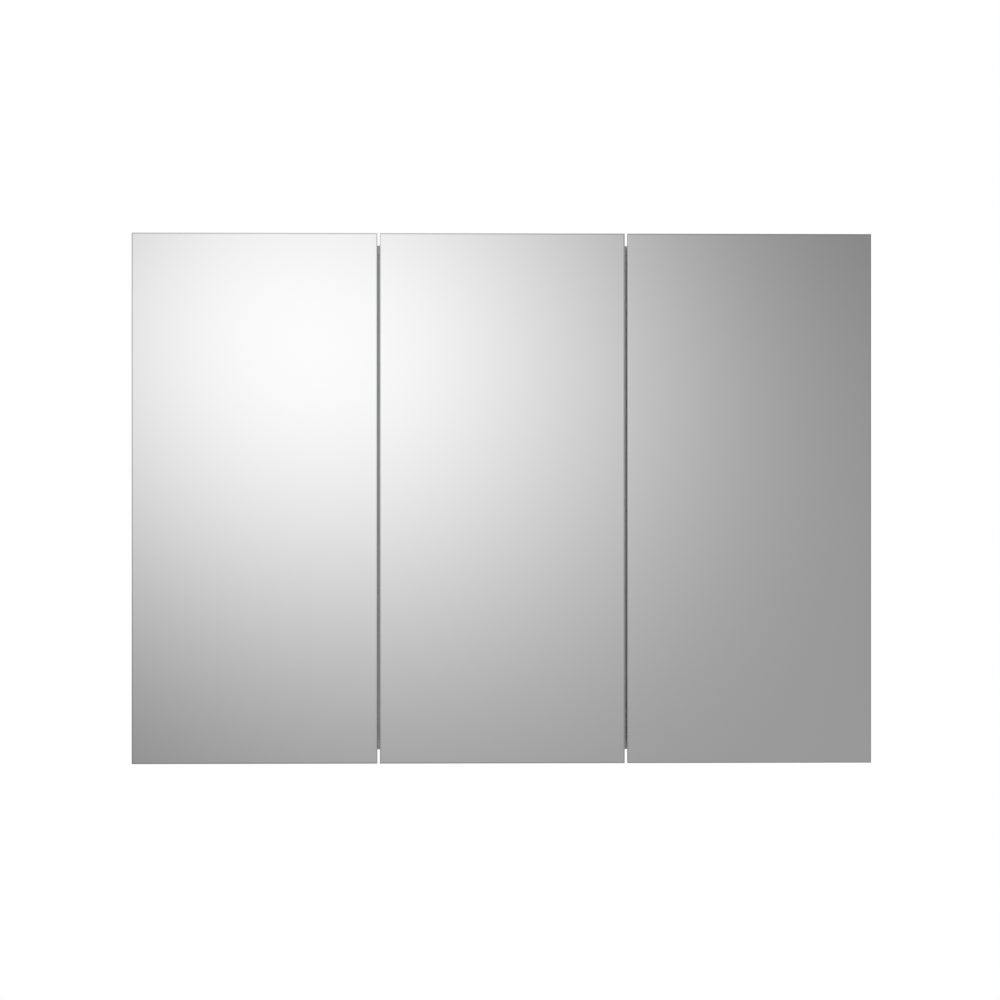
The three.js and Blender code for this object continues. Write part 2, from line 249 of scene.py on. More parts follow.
def facing(at, axis):
    """A placement that stands a turned mesh at a point, with its z along the axis."""
    return Matrix.Translation(at) @ Vector(axis).to_track_quat("Z", "Y").to_matrix().to_4x4()


def gathered(name, mesh, places):
    """One mesh that holds a copy of another at each place."""
    bm = bmesh.new()
    for matrix in places:
        copy = mesh.copy()
        copy.transform(matrix)
        bm.from_mesh(copy)
        bpy.data.meshes.remove(copy)
    return to_mesh(bm, name)


# Bright zinc plate: a cool grey with a crystal spangle, passivated to a faint haze.
zinc_plate, tree, place = new_material("zinc_plate")
spangle = add_node(tree, "ShaderNodeTexVoronoi", {"Vector": place, "Scale": 1 / (0.8 * MM)})
colour = add_node(tree, "ShaderNodeMix", {
    "data_type": "RGBA", 0: spangle.outputs["Distance"], 6: linear("#C4C9CC"), 7: linear("#A6ACB1")})
gloss = add_node(tree, "ShaderNodeMapRange", {
    "Value": spangle.outputs["Distance"], "To Min": 0.2, "To Max": 0.38})
shader = add_node(tree, "ShaderNodeBsdfPrincipled", {
    "Base Color": colour, "Metallic": 1.0, "Roughness": gloss})
add_node(tree, "ShaderNodeOutputMaterial", {"Surface": shader})

wall_low, wall_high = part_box("wall_rail")
wall_screws = [facing((x, wall_high.y - RAIL_SHEET, wall_low.z + WALL_SCREW_RISE), (0, -1, 0))
               for x in WALL_SCREW_PLACES]
wall_head = screw_head(WALL_SCREW_RADIUS, WALL_SCREW_HEIGHT)
dress("wall_screws", gathered("wall_screws", wall_head, wall_screws), [zinc_plate],
      "cabinet")

hook_low, hook_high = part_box("cabinet_rail")
rail_rivets = [facing((x, hook_low.y + RAIL_SHEET, hook_high.z - RAIL_RIVET_DROP), (0, 1, 0))
               for x in RAIL_RIVET_PLACES]
rivet = rivet_head(RIVET_RADIUS, RIVET_HEIGHT)
dress("rail_rivets", gathered("rail_rivets", rivet, rail_rivets), [mill_aluminium],
      "cabinet")

# ---------------------------------------------------------------------------------------------------
# Body: 2 mm aluminium sheet, sheared, folded and satin anodised. Two upright channels part the three
# bays, and blind rivets hold the sides to the top and the bottom.
SHEET_EDGE = 0.35 * MM
SIDE_RIVET_INSET = 9 * MM
SIDE_RIVET_DEPTHS = (0.15, 0.5, 0.85)

# Etching before the anodising leaves a fine even grain, which is drawn 0.5 mm wide to show; the bath
# leaves very faint clouds 160 mm wide, and the oxide gives a soft grey sheen.
anodised_aluminium, tree, place = new_material("anodised_aluminium")
grain = add_node(tree, "ShaderNodeTexNoise", {"Vector": place, "Scale": 1 / (0.5 * MM), "Detail": 2.0})
clouds = add_node(tree, "ShaderNodeTexNoise", {"Vector": place, "Scale": 1 / (160 * MM), "Detail": 1.0})
tone = add_node(tree, "ShaderNodeMapRange", {"Value": clouds, **NOISE_SPAN})
colour = add_node(tree, "ShaderNodeMix", {
    "data_type": "RGBA", 0: tone, 6: linear("#CED0D2"), 7: linear("#D2D4D5")})
gloss = add_node(tree, "ShaderNodeMapRange", {
    "Value": grain, **NOISE_SPAN, "To Min": 0.22, "To Max": 0.3})
relief = add_node(tree, "ShaderNodeBump", {"Height": grain, "Distance": 0.01 * MM})
shader = add_node(tree, "ShaderNodeBsdfPrincipled", {
    "Base Color": colour, "Metallic": 1.0, "Roughness": gloss, "Normal": relief})
add_node(tree, "ShaderNodeOutputMaterial", {"Surface": shader})

for panel in ("left_side", "right_side", "top_panel", "bottom_panel", "back_panel",
              "left_partition", "right_partition"):
    dress(panel + "_sheet", eased(panel, SHEET_EDGE), [anodised_aluminium], "cabinet", [panel])

side_rivets = []
for side, outward in (("left_side", -1), ("right_side", 1)):
    low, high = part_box(side)
    outer_x = low.x if outward < 0 else high.x
    for height in (low.z + SIDE_RIVET_INSET, high.z - SIDE_RIVET_INSET):
        for depth in SIDE_RIVET_DEPTHS:
            at = (outer_x, low.y + depth * (high.y - low.y), height)
            side_rivets.append(facing(at, (outward, 0, 0)))
dress("side_rivets", gathered("side_rivets", rivet, side_rivets), [anodised_aluminium],
      "cabinet")

# ---------------------------------------------------------------------------------------------------
# Wall bumpers: two moulded rubber feet, glued to the back panel near its bottom edge. They rest on the
# wall and keep the body upright.
BUMPER_EDGE = 1.2 * MM

# EPDM rubber from a sparked mould: a matt skin with a 0.6 mm grain.
moulded_rubber, tree, place = new_material("moulded_rubber")
grain = add_node(tree, "ShaderNodeTexNoise", {"Vector": place, "Scale": 1 / (0.6 * MM), "Detail": 3.0})
colour = add_node(tree, "ShaderNodeMix", {
    "data_type": "RGBA", 0: grain, 6: linear("#222223"), 7: linear("#3A3A3B")})
relief = add_node(tree, "ShaderNodeBump", {"Height": grain, "Distance": 0.05 * MM})
shader = add_node(tree, "ShaderNodeBsdfPrincipled", {
    "Base Color": colour, "Roughness": 0.75, "Specular IOR Level": 0.4, "Normal": relief})
add_node(tree, "ShaderNodeOutputMaterial", {"Surface": shader})

for bumper in ("left_bumper", "right_bumper"):
    dress(bumper + "_foot", eased(bumper, BUMPER_EDGE, segments=4), [moulded_rubber],
          "cabinet", [bumper])

# ---------------------------------------------------------------------------------------------------
# Shelf supports: white nylon grommets pressed into the uprights in short rows, 32 mm apart, and turned
# nickel-plated pegs in the middle hole of each row, four under each shelf.
BAY_WALLS = {"left": ("left_side", "left_partition"), "middle": ("left_partition", "right_partition"),
             "right": ("right_partition", "right_side")}
LEVELS = ("upper", "lower")
PEG_RADIUS = 2.4 * MM
PEG_REACH = 8 * MM
PEG_SET = 18 * MM
PEG_SLACK = 0.2 * MM
HOLE_PITCH = 32 * MM
HOLE_STEPS = (-2, -1, 1, 2)
GROMMET_RADIUS = 4.2 * MM
BORE_RADIUS = 0.6 * GROMMET_RADIUS
LEVEL_FACE = 0.999

# Bright nickel on steel: warm grey, with a 6 mm haze of handling and fine rumbling marks.
nickel_plate, tree, place = new_material("nickel_plate")
haze = add_node(tree, "ShaderNodeTexNoise", {"Vector": place, "Scale": 1 / (6 * MM), "Detail": 2.0})
marks = add_node(tree, "ShaderNodeTexNoise", {"Vector": place, "Scale": 1 / (0.4 * MM), "Detail": 2.0})
tone = add_node(tree, "ShaderNodeMapRange", {"Value": haze, **NOISE_SPAN})
colour = add_node(tree, "ShaderNodeMix", {
    "data_type": "RGBA", 0: tone, 6: linear("#D0CDC9"), 7: linear("#D9D7D3")})
gloss = add_node(tree, "ShaderNodeMapRange", {
    "Value": haze, **NOISE_SPAN, "To Min": 0.22, "To Max": 0.3})
relief = add_node(tree, "ShaderNodeBump", {"Height": marks, "Distance": 0.0015 * MM})
shader = add_node(tree, "ShaderNodeBsdfPrincipled", {
    "Base Color": colour, "Metallic": 1.0, "Roughness": gloss, "Normal": relief})
add_node(tree, "ShaderNodeOutputMaterial", {"Surface": shader})

# Moulded nylon: translucent white with a soft gloss, its 0.5 mm mottle from the sparked mould.
moulded_nylon, tree, place = new_material("moulded_nylon")
mottle = add_node(tree, "ShaderNodeTexNoise", {"Vector": place, "Scale": 1 / (0.5 * MM), "Detail": 2.0})
colour = add_node(tree, "ShaderNodeMix", {
    "data_type": "RGBA", 0: mottle, 6: linear("#D5D5D2"), 7: linear("#E6E6E3")})
relief = add_node(tree, "ShaderNodeBump", {"Height": mottle, "Distance": 0.02 * MM})
shader = add_node(tree, "ShaderNodeBsdfPrincipled", {
    "Base Color": colour, "Roughness": 0.45, "IOR": 1.53, "Normal": relief})
add_node(tree, "ShaderNodeOutputMaterial", {"Surface": shader})

# The shadow inside an open grommet: the same nylon, unlit a few millimetres down.
grommet_bore, tree, place = new_material("grommet_bore")
mottle = add_node(tree, "ShaderNodeTexNoise", {"Vector": place, "Scale": 1 / (0.5 * MM), "Detail": 2.0})
colour = add_node(tree, "ShaderNodeMix", {
    "data_type": "RGBA", 0: mottle, 6: linear("#2B2B2B"), 7: linear("#3B3B3A")})
shader = add_node(tree, "ShaderNodeBsdfPrincipled", {
    "Base Color": colour, "Roughness": 0.8, "Specular IOR Level": 0.2})
add_node(tree, "ShaderNodeOutputMaterial", {"Surface": shader})

peg = turned([
    (0, 0), (PEG_RADIUS, 0), (PEG_RADIUS, 5 * MM), (PEG_RADIUS * 0.86, 5.4 * MM),
    (PEG_RADIUS * 0.86, PEG_REACH - 1.6 * MM), (PEG_RADIUS, PEG_REACH - 1.2 * MM),
    (PEG_RADIUS, PEG_REACH - 0.5 * MM), (PEG_RADIUS * 0.75, PEG_REACH), (0, PEG_REACH)])
collar = turned([
    (0, 0.1 * MM), (BORE_RADIUS, 0.1 * MM), (GROMMET_RADIUS * 0.66, 0.5 * MM),
    (GROMMET_RADIUS * 0.9, 0.5 * MM), (GROMMET_RADIUS, 0.3 * MM), (GROMMET_RADIUS, 0), (0, 0)], sides=20)
for face in collar.polygons:
    at_bottom_of_bore = face.normal.z > LEVEL_FACE and face.center.xy.length < BORE_RADIUS
    face.material_index = 1 if at_bottom_of_bore else 0
pegs = []
grommets = []
for bay, (left_wall, right_wall) in BAY_WALLS.items():
    faces = ((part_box(left_wall)[1].x, 1), (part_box(right_wall)[0].x, -1))
    for level in LEVELS:
        low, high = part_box(f"{bay}_{level}_shelf")
        height = low.z - PEG_RADIUS - PEG_SLACK
        for depth in (low.y + PEG_SET, high.y - PEG_SET):
            for wall, inward in faces:
                pegs.append(facing((wall, depth, height), (inward, 0, 0)))
                for step in HOLE_STEPS:
                    at = (wall, depth, height + step * HOLE_PITCH)
                    grommets.append(facing(at, (inward, 0, 0)))
dress("shelf_pegs", gathered("shelf_pegs", peg, pegs), [nickel_plate], "cabinet")
dress("shelf_grommets", gathered("shelf_grommets", collar, grommets), [moulded_nylon, grommet_bore],
      "cabinet")

# ---------------------------------------------------------------------------------------------------
# Glass shelves: 5 mm clear float glass with ground edges, resting on their pegs. The iron in the glass
# shows green at the edges, where the light comes through its whole width.
GLASS_EDGE = 0.6 * MM

# Clear soda-lime glass, with a faint ripple from the float bath, 60 mm from crest to crest.
float_glass, tree, place = new_material("float_glass")
ripple = add_node(tree, "ShaderNodeTexNoise", {"Vector": place, "Scale": 1 / (60 * MM), "Detail": 1.0})
relief = add_node(tree, "ShaderNodeBump", {"Height": ripple, "Distance": 0.01 * MM})
shader = add_node(tree, "ShaderNodeBsdfPrincipled", {
    "Base Color": linear("#F1F8F5"), "Transmission Weight": 1.0, "IOR": 1.52, "Roughness": 0.0,
    "Normal": relief})
add_node(tree, "ShaderNodeOutputMaterial", {"Surface": shader})

# A wheel-ground edge: frosted green, with grinding marks drawn 1 mm apart.
ground_shelf_edge, tree, place = new_material("ground_shelf_edge")
marks = add_node(tree, "ShaderNodeTexNoise", {"Vector": place, "Scale": 1 / MM, "Detail": 3.0})
tone = add_node(tree, "ShaderNodeMapRange", {"Value": marks, **NOISE_SPAN})
colour = add_node(tree, "ShaderNodeMix", {
    "data_type": "RGBA", 0: tone, 6: linear("#8FB5A4"), 7: linear("#A9CBBC")})
gloss = add_node(tree, "ShaderNodeMapRange", {
    "Value": marks, **NOISE_SPAN, "To Min": 0.34, "To Max": 0.5})
relief = add_node(tree, "ShaderNodeBump", {"Height": marks, "Distance": 0.02 * MM})
shader = add_node(tree, "ShaderNodeBsdfPrincipled", {
    "Base Color": colour, "Transmission Weight": 0.25, "IOR": 1.52, "Roughness": gloss,
    "Normal": relief})
add_node(tree, "ShaderNodeOutputMaterial", {"Surface": shader})

for bay in BAY_WALLS:
    for level in LEVELS:
        shelf = f"{bay}_{level}_shelf"
        plate = eased(shelf, GLASS_EDGE)
        for face in plate.polygons:
            face.material_index = 0 if abs(face.normal.z) > LEVEL_FACE else 1
        dress(shelf + "_glass", plate, [float_glass, ground_shelf_edge], "cabinet", [shelf])

# ---------------------------------------------------------------------------------------------------
# Hinge plates and arms: pressed steel, nickel plated. Two wood screws hold each plate to its upright,
# and the arm is held to the plate by a fixing screw and shifted by a setting screw; its fork carries
# both links.
DOORS = ("left_door", "middle_door", "right_door")
HANDS = {"left_door": -1, "middle_door": -1, "right_door": 1}
STEEL_EDGE = 0.3 * MM
WING = 2.5 * MM
WING_MIDDLE = 21 * MM
WING_SCREW_AT = 41 * MM
PLATE_SCREW_RADIUS = 3.6 * MM
PLATE_SCREW_HEIGHT = 1.3 * MM
ARM_SHEET = 2 * MM
ARM_SCREWS = (8 * MM, 27 * MM)
ARM_SCREW_RADIUS = 3.4 * MM
ARM_SCREW_HEIGHT = 1.8 * MM
plate_head = screw_head(PLATE_SCREW_RADIUS, PLATE_SCREW_HEIGHT)
arm_head = screw_head(ARM_SCREW_RADIUS, ARM_SCREW_HEIGHT)
plate_screws = []
arm_screws = []
for door in DOORS:
    hand = HANDS[door]
    for level in LEVELS:
        for part in ("plate", "arm"):
            node = f"{door}_{level}_{part}"
            dress(node + "_steel", eased(node, STEEL_EDGE), [nickel_plate],
                  "cabinet", [node])
        low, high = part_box(f"{door}_{level}_plate")
        middle = (low.z + high.z) / 2
        door_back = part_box(f"{door}_core")[1].y
        wing_face = high.x - WING if hand > 0 else low.x + WING
        for rise in (-WING_MIDDLE, WING_MIDDLE):
            at = (wing_face, door_back + WING_SCREW_AT, middle + rise)
            plate_screws.append(facing(at, (-hand, 0, 0)))
        arm_low, arm_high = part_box(f"{door}_{level}_arm")
        floor = arm_high.x - ARM_SHEET if hand > 0 else arm_low.x + ARM_SHEET
        for back in ARM_SCREWS:
            arm_screws.append(facing((floor, arm_high.y - back, middle), (-hand, 0, 0)))
dress("hinge_plate_screws", gathered("hinge_plate_screws", plate_head, plate_screws), [nickel_plate],
      "cabinet")
dress("hinge_arm_screws", gathered("hinge_arm_screws", arm_head, arm_screws), [nickel_plate],
      "cabinet")

# ---------------------------------------------------------------------------------------------------
# Links: hooked bars of hardened steel, stamped and nickel plated, two to a hinge, with an eye at each
# end for its pin.
LINK_EDGE = 0.15 * MM
for door in DOORS:
    for level in LEVELS:
        for side in ("outer", "inner"):
            node = f"{door}_{level}_{side}_link"
            body = door.replace("door", side + "_links")
            dress(node + "_bar", eased(node, LINK_EDGE), [nickel_plate], body, [node])

# ---------------------------------------------------------------------------------------------------
# Cups: deep-drawn steel, 35 mm across, nickel plated, pressed into the door board. Two countersunk
# screws hold the ears.
CUP_EDGE = 0.12 * MM
EAR_SCREW_RADIUS = 3.4 * MM
EAR_SCREW_HEIGHT = 0.4 * MM
EAR_SCREW_SET = 5 * MM
EAR_FACE = 1.3 * MM
ear_head = screw_head(EAR_SCREW_RADIUS, EAR_SCREW_HEIGHT)
for door in DOORS:
    ear_screws = []
    for level in LEVELS:
        node = f"{door}_{level}_cup"
        dress(node + "_shell", eased(node, CUP_EDGE), [nickel_plate], door, [node])
        low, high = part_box(node)
        ear_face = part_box(f"{door}_core")[1].y + EAR_FACE
        for height in (low.z + EAR_SCREW_SET, high.z - EAR_SCREW_SET):
            ear_screws.append(facing(((low.x + high.x) / 2, ear_face, height), (0, 1, 0)))
    dress(door + "_cup_screws", gathered(door + "_cup_screws", ear_head, ear_screws), [nickel_plate],
          door)

# ---------------------------------------------------------------------------------------------------
# Door boards: fibreboard a little under 14 mm thick, bored for the cups, sunk for the inner mirror, its
# edges rounded by hand and sprayed white.
BOARD_EDGE = 0.8 * MM

# Satin polyurethane lacquer: orange peel 2 mm from crest to crest, its gloss a little uneven, and its
# white a shade warmer where the spray lies thick.
white_lacquer, tree, place = new_material("white_lacquer")
peel = add_node(tree, "ShaderNodeTexNoise", {"Vector": place, "Scale": 1 / (2 * MM), "Detail": 2.0})
spray = add_node(tree, "ShaderNodeTexNoise", {"Vector": place, "Scale": 1 / (120 * MM), "Detail": 2.0})
tone = add_node(tree, "ShaderNodeMapRange", {"Value": spray, **NOISE_SPAN})
colour = add_node(tree, "ShaderNodeMix", {
    "data_type": "RGBA", 0: tone, 6: linear("#E7E7E4"), 7: linear("#EFEFED")})
gloss = add_node(tree, "ShaderNodeMapRange", {
    "Value": peel, **NOISE_SPAN, "To Min": 0.3, "To Max": 0.42})
relief = add_node(tree, "ShaderNodeBump", {"Height": peel, "Distance": 0.02 * MM})
shader = add_node(tree, "ShaderNodeBsdfPrincipled", {
    "Base Color": colour, "Roughness": gloss, "IOR": 1.5, "Coat Weight": 0.25, "Coat Roughness": 0.2,
    "Normal": relief})
add_node(tree, "ShaderNodeOutputMaterial", {"Surface": shader})

# The bores and the sunk field are left sharp, as the cutters leave them.
for door in DOORS:
    dress(door + "_board", eased(door + "_core", BOARD_EDGE, outline=True), [white_lacquer], door,
          [door + "_core"])

# ---------------------------------------------------------------------------------------------------
# Door buffers: clear polyurethane domes stuck to the free corners of each board, which land on the
# folded lips of the top and the bottom.
BUFFER_RADIUS = 4 * MM
BUFFER_HEIGHT = 1.6 * MM
BUFFER_INSET = 8 * MM
BUFFER_DROP = 6 * MM

# Cast polyurethane: clear and water-white, a little dulled by handling.
cast_polyurethane, tree, place = new_material("cast_polyurethane")
smear = add_node(tree, "ShaderNodeTexNoise", {"Vector": place, "Scale": 1 / MM, "Detail": 2.0})
gloss = add_node(tree, "ShaderNodeMapRange", {"Value": smear, "To Min": 0.08, "To Max": 0.3})
colour = add_node(tree, "ShaderNodeMix", {
    "data_type": "RGBA", 0: smear, 6: linear("#D9DCDB"), 7: linear("#EEF0EF")})
shader = add_node(tree, "ShaderNodeBsdfPrincipled", {
    "Base Color": colour, "Transmission Weight": 0.7, "IOR": 1.5, "Roughness": gloss})
add_node(tree, "ShaderNodeOutputMaterial", {"Surface": shader})

buffer = turned([
    (0, 0), (BUFFER_RADIUS, 0), (BUFFER_RADIUS, BUFFER_HEIGHT * 0.25),
    (BUFFER_RADIUS * 0.9, BUFFER_HEIGHT * 0.6), (BUFFER_RADIUS * 0.65, BUFFER_HEIGHT * 0.88),
    (BUFFER_RADIUS * 0.35, BUFFER_HEIGHT), (0, BUFFER_HEIGHT)])
for door in DOORS:
    low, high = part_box(door + "_core")
    free_edge = low.x + BUFFER_INSET if HANDS[door] > 0 else high.x - BUFFER_INSET
    places = [facing((free_edge, high.y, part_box("top_panel")[1].z - BUFFER_DROP), (0, 1, 0)),
              facing((free_edge, high.y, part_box("bottom_panel")[0].z + BUFFER_DROP), (0, 1, 0))]
    dress(door + "_buffers", gathered(door + "_buffers", buffer, places), [cast_polyurethane],
          door)

# ---------------------------------------------------------------------------------------------------
# Mirrors: silvered float glass, 4 mm in front and 3 mm inside, glued to the boards. They are frameless:
# a very shallow polished slope runs round each, and a ground arris takes off its corner.
SLOPE_INSET = 1.5 * MM
SLOPE_DEPTH = 0.028 * MM
ARRIS_INSET = 0.4 * MM
ARRIS_DEPTH = 0.5 * MM

# Silver behind clear glass: a true mirror, with a trace of wiping haze 70 mm across.
silvered_glass, tree, place = new_material("silvered_glass")
haze = add_node(tree, "ShaderNodeTexNoise", {"Vector": place, "Scale": 1 / (70 * MM), "Detail": 3.0})
gloss = add_node(tree, "ShaderNodeMapRange", {
    "Value": haze, **NOISE_SPAN, "To Min": 0.0, "To Max": 0.012})
shader = add_node(tree, "ShaderNodeBsdfPrincipled", {
    "Base Color": linear("#F7F7F7"), "Metallic": 1.0, "Roughness": gloss})
add_node(tree, "ShaderNodeOutputMaterial", {"Surface": shader})

# The slope is silvered like the face, but its polish is a little duller.
polished_slope, tree, place = new_material("polished_slope")
haze = add_node(tree, "ShaderNodeTexNoise", {"Vector": place, "Scale": 1 / (6 * MM), "Detail": 2.0})
gloss = add_node(tree, "ShaderNodeMapRange", {
    "Value": haze, **NOISE_SPAN, "To Min": 0.0, "To Max": 0.04})
shader = add_node(tree, "ShaderNodeBsdfPrincipled", {
    "Base Color": linear("#E2E2E2"), "Metallic": 1.0, "Roughness": gloss})
add_node(tree, "ShaderNodeOutputMaterial", {"Surface": shader})

# The same glass ground and polished at its edge: grey, with marks of the wheel drawn 1 mm apart.
ground_mirror_edge, tree, place = new_material("ground_mirror_edge")
marks = add_node(tree, "ShaderNodeTexNoise", {"Vector": place, "Scale": 1 / MM, "Detail": 3.0})
tone = add_node(tree, "ShaderNodeMapRange", {"Value": marks, **NOISE_SPAN})
colour = add_node(tree, "ShaderNodeMix", {
    "data_type": "RGBA", 0: tone, 6: linear("#969B99"), 7: linear("#A9AEAC")})
gloss = add_node(tree, "ShaderNodeMapRange", {
    "Value": marks, **NOISE_SPAN, "To Min": 0.25, "To Max": 0.4})
relief = add_node(tree, "ShaderNodeBump", {"Height": marks, "Distance": 0.01 * MM})
shader = add_node(tree, "ShaderNodeBsdfPrincipled", {
    "Base Color": colour, "IOR": 1.52, "Roughness": gloss, "Normal": relief})
add_node(tree, "ShaderNodeOutputMaterial", {"Surface": shader})

# Grey protective paint over the silver, rolled on with a 1.5 mm stipple.
mirror_backing, tree, place = new_material("mirror_backing")
stipple = add_node(tree, "ShaderNodeTexNoise", {"Vector": place, "Scale": 1 / (1.5 * MM), "Detail": 2.0})
colour = add_node(tree, "ShaderNodeMix", {
    "data_type": "RGBA", 0: stipple, 6: linear("#6E7A78"), 7: linear("#7C8886")})
relief = add_node(tree, "ShaderNodeBump", {"Height": stipple, "Distance": 0.03 * MM})
shader = add_node(tree, "ShaderNodeBsdfPrincipled", {
    "Base Color": colour, "Roughness": 0.6, "Normal": relief})
add_node(tree, "ShaderNodeOutputMaterial", {"Surface": shader})


def mirror_plate(low, high, forward):
    """A mirror whose slope and arris are on the side that it faces: -1 looks along -y and +1 along +y."""
    face_y, back_y = (low.y, high.y) if forward < 0 else (high.y, low.y)
    steps = [(SLOPE_INSET, 0), (ARRIS_INSET, SLOPE_DEPTH), (0, ARRIS_DEPTH)]
    loops = [(inset, face_y - forward * depth) for inset, depth in steps] + [(0, back_y)]
    bm = bmesh.new()
    rings = []
    for inset, y in loops:
        x0, x1, z0, z1 = low.x + inset, high.x - inset, low.z + inset, high.z - inset
        rings.append([bm.verts.new((x, y, z)) for x, z in ((x0, z0), (x1, z0), (x1, z1), (x0, z1))])
    bm.faces.new(rings[0]).material_index = 0
    for slot, near, far in zip((1, 2, 2), rings, rings[1:]):
        for i in range(4):
            j = (i + 1) % 4
            bm.faces.new([near[i], near[j], far[j], far[i]]).material_index = slot
    bm.faces.new(rings[-1]).material_index = 3
    bmesh.ops.recalc_face_normals(bm, faces=bm.faces)
    return to_mesh(bm, "mirror_plate")


for door in DOORS:
    for name, forward in (("mirror", -1), ("inner_mirror", 1)):
        node = f"{door}_{name}"
        dress(node + "_glass", mirror_plate(*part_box(node), forward),
              [silvered_glass, polished_slope, ground_mirror_edge, mirror_backing], door, [node])

# ---------------------------------------------------------------------------------------------------
# Studio: a pale floor with painted shade in front and painted light glowing behind and to the sides,
# surroundings that are white behind the cabinet and dimmer in front of it, and a large painted flat
# behind the camera with a soft pool of light painted on it as a glow. Only reflections show the flat.
MIDDLE = (CAD_BOX[0] + CAD_BOX[1]) / 2
FRONT = CAD_BOX[0].y
VIEW_DISTANCE = 4.0
VIEW_WIDTH = 1.2355
VIEW_AZIMUTH = math.radians(-1.4)
VIEW_SIDE = -0.0030
VIEW_DROP = -0.0020
FLAT_DISTANCE = 4.47
FLAT_HALF = (2.3, 2.2)
FLAT_FADE = (0.75, 1.05)
FLOOR_DROP = 1.0
FLOOR_REACH = (-20, 2, 20)
PATCH_REACH = 3.5
PATCH_SQUEEZE = 0.6
FLOOR_WHITE = (0.2, 1.8)
FLOOR_WHITE_ASIDE = 0.5
FLOOR_WHITE_LIGHT = 0.4
ROOM_LIGHT = (0.7, 1.0)
ROOM_SPAN = (-1.0, 0.2)
WHITE = (1, 1, 1, 1)
SENSOR_WIDTH = 36
# Painted light on the flat: the place, size and strength of its pool and of its wash.
POOL_PLACE = (-0.257, 0.214)
POOL_HALF = (0.464, 0.432)
POOL_LEAN = -0.13
POOL_LIGHT = 0.956
WASH_LIGHT = 0.172
WASH_ACROSS = 0.178
WASH_UP = -0.2

# Matt floor paint: pale, with painted shade in a wide grey patch in front of the cabinet, and painted
# light glowing behind and to the sides until it merges with the white surroundings.
floor_paint_and_painted_light, tree, place = new_material("floor_paint_and_painted_light")
# Painted shade: the floor is grey in a wide patch in front of the cabinet.
patch = add_node(tree, "ShaderNodeMapping", {
    "Vector": place, "Location": (0, PATCH_REACH, 0), "Scale": (PATCH_SQUEEZE, 1, 0)})
from_patch = add_node(tree, "ShaderNodeVectorMath", {"operation": "LENGTH", "Vector": patch})
pale = add_node(tree, "ShaderNodeMapRange", {
    "interpolation_type": "SMOOTHSTEP", "Value": from_patch, "From Max": PATCH_REACH})
colour = add_node(tree, "ShaderNodeMix", {
    "data_type": "RGBA", 0: pale, 6: linear("#C8C8C8"), 7: linear("#F2F2F2")})
# Painted light: the floor glows behind and to the sides, more the farther it lies.
floor_place = add_node(tree, "ShaderNodeSeparateXYZ", {"Vector": place})
aside = add_node(tree, "ShaderNodeMath", {"operation": "ABSOLUTE", 0: floor_place.outputs["X"]})
beyond = add_node(tree, "ShaderNodeMath", {
    "operation": "MULTIPLY_ADD", 0: aside, 1: FLOOR_WHITE_ASIDE, 2: floor_place.outputs["Y"]})
painted_glow = add_node(tree, "ShaderNodeMapRange", {
    "interpolation_type": "SMOOTHSTEP", "Value": beyond, "From Min": FLOOR_WHITE[0],
    "From Max": FLOOR_WHITE[1], "To Max": FLOOR_WHITE_LIGHT})
shader = add_node(tree, "ShaderNodeBsdfPrincipled", {
    "Base Color": colour, "Roughness": 0.9, "Emission Color": WHITE, "Emission Strength": painted_glow})
add_node(tree, "ShaderNodeOutputMaterial", {"Surface": shader})

# The flat glows with a painted pool of light and a weak painted wash, both laid out in metres on the
# mirrors' plane, and thins out to nothing at its edge.
flat_of_painted_light, tree, place = new_material("flat_of_painted_light")
reach = (VIEW_DISTANCE + FLAT_DISTANCE) / VIEW_DISTANCE
seen = add_node(tree, "ShaderNodeVectorMath", {"operation": "SCALE", "Vector": place, "Scale": 1 / reach})
seen = add_node(tree, "ShaderNodeSeparateXYZ", {"Vector": seen})
across = add_node(tree, "ShaderNodeMath", {
    "operation": "MULTIPLY_ADD", 0: seen.outputs["X"], 1: 1 / POOL_HALF[0],
    2: -POOL_PLACE[0] / POOL_HALF[0]})
up = add_node(tree, "ShaderNodeMath", {
    "operation": "MULTIPLY_ADD", 0: seen.outputs["Z"], 1: 1 / POOL_HALF[1],
    2: -POOL_PLACE[1] / POOL_HALF[1]})
across_square = add_node(tree, "ShaderNodeMath", {"operation": "MULTIPLY", 0: across, 1: across})
both = add_node(tree, "ShaderNodeMath", {"operation": "MULTIPLY_ADD", 0: up, 1: up, 2: across_square})
leaning = add_node(tree, "ShaderNodeMath", {"operation": "MULTIPLY", 0: across, 1: up})
spread = add_node(tree, "ShaderNodeMath", {"operation": "MULTIPLY_ADD", 0: leaning, 1: -POOL_LEAN, 2: both})
negative = add_node(tree, "ShaderNodeMath", {"operation": "MULTIPLY", 0: spread, 1: -1.0})
glow = add_node(tree, "ShaderNodeMath", {"operation": "EXPONENT", 0: negative})
# Painted light: a weak wash over the whole flat, added to the pool.
wash = add_node(tree, "ShaderNodeMath", {
    "operation": "MULTIPLY_ADD", 0: seen.outputs["X"], 1: WASH_ACROSS, 2: WASH_LIGHT})
wash = add_node(tree, "ShaderNodeMath", {
    "operation": "MULTIPLY_ADD", 0: seen.outputs["Z"], 1: WASH_UP, 2: wash})
light = add_node(tree, "ShaderNodeMath", {"operation": "MULTIPLY_ADD", 0: glow, 1: POOL_LIGHT, 2: wash})
glowing = add_node(tree, "ShaderNodeEmission", {"Color": WHITE, "Strength": light})
clear = add_node(tree, "ShaderNodeBsdfTransparent", {})
away = add_node(tree, "ShaderNodeVectorMath", {"operation": "LENGTH", "Vector": place})
fade = add_node(tree, "ShaderNodeMapRange", {
    "interpolation_type": "SMOOTHSTEP", "Value": away, "From Min": FLAT_FADE[0] * reach,
    "From Max": FLAT_FADE[1] * reach})
mixed = add_node(tree, "ShaderNodeMixShader", {0: fade, 1: glowing, 2: clear})
add_node(tree, "ShaderNodeOutputMaterial", {"Surface": mixed})


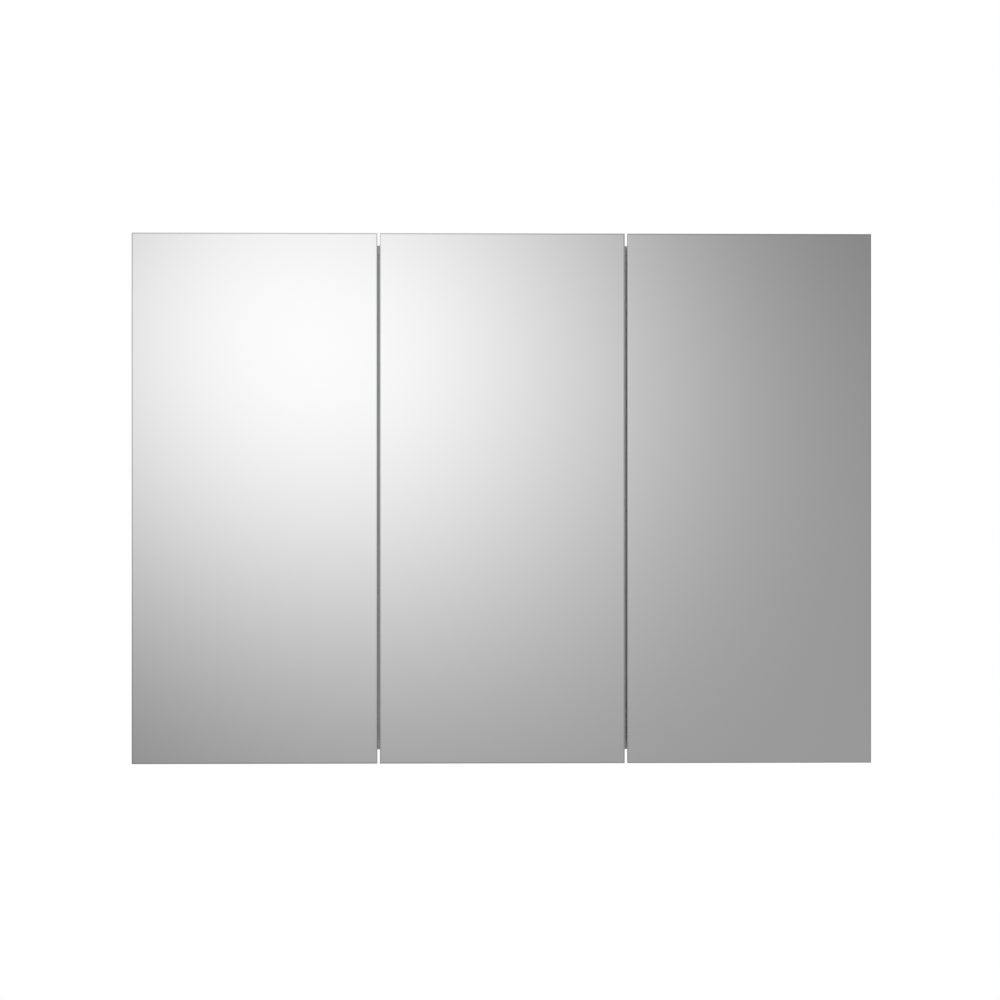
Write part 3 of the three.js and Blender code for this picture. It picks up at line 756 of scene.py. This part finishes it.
def stage_plane(name, corners, material):
    mesh = bpy.data.meshes.new(name)
    mesh.from_pydata(corners, [], [(0, 1, 2, 3)])
    mesh.materials.append(material)
    plane = bpy.data.objects.new(name, mesh)
    bpy.context.scene.collection.objects.link(plane)
    return plane


floor_z = CAD_BOX[0].z - FLOOR_DROP
near, far, side = FLOOR_REACH
stage_plane("floor", [(-side, near, floor_z), (side, near, floor_z), (side, far, floor_z),
                      (-side, far, floor_z)], floor_paint_and_painted_light)
camera_side = VIEW_DISTANCE * math.sin(VIEW_AZIMUTH)
width, height = FLAT_HALF
flat = stage_plane(
    "flat", [(-width, 0, -height), (-width, 0, height), (width, 0, height), (width, 0, -height)], flat_of_painted_light)
flat.location = (MIDDLE.x - camera_side * FLAT_DISTANCE / VIEW_DISTANCE, FRONT - FLAT_DISTANCE, MIDDLE.z)
for ray in ("camera", "diffuse", "shadow", "transmission", "volume_scatter"):
    setattr(flat, "visible_" + ray, False)

world = bpy.data.worlds.new("white_surroundings")
world.use_nodes = True
tree = world.node_tree
tree.nodes.clear()
around = add_node(tree, "ShaderNodeSeparateXYZ", {
    "Vector": add_node(tree, "ShaderNodeTexCoord", {}).outputs["Generated"]})
room = add_node(tree, "ShaderNodeMapRange", {
    "interpolation_type": "SMOOTHSTEP", "Value": around.outputs["Y"], "From Min": ROOM_SPAN[0],
    "From Max": ROOM_SPAN[1], "To Min": ROOM_LIGHT[0], "To Max": ROOM_LIGHT[1]})
glowing = add_node(tree, "ShaderNodeBackground", {"Color": WHITE, "Strength": room})
add_node(tree, "ShaderNodeOutputWorld", {"Surface": glowing})
bpy.context.scene.world = world

camera_data = bpy.data.cameras.new("camera")
camera_data.sensor_width = SENSOR_WIDTH
camera_data.lens = SENSOR_WIDTH * VIEW_DISTANCE / VIEW_WIDTH
camera = bpy.data.objects.new("camera", camera_data)
bpy.context.scene.collection.objects.link(camera)
camera.location = (MIDDLE.x + camera_side + VIEW_SIDE, FRONT - VIEW_DISTANCE * math.cos(VIEW_AZIMUTH),
                   MIDDLE.z + VIEW_DROP)
camera.rotation_euler = (math.radians(90), 0, VIEW_AZIMUTH)
bpy.context.scene.camera = camera
bpy.context.scene.view_settings.view_transform = "Standard"
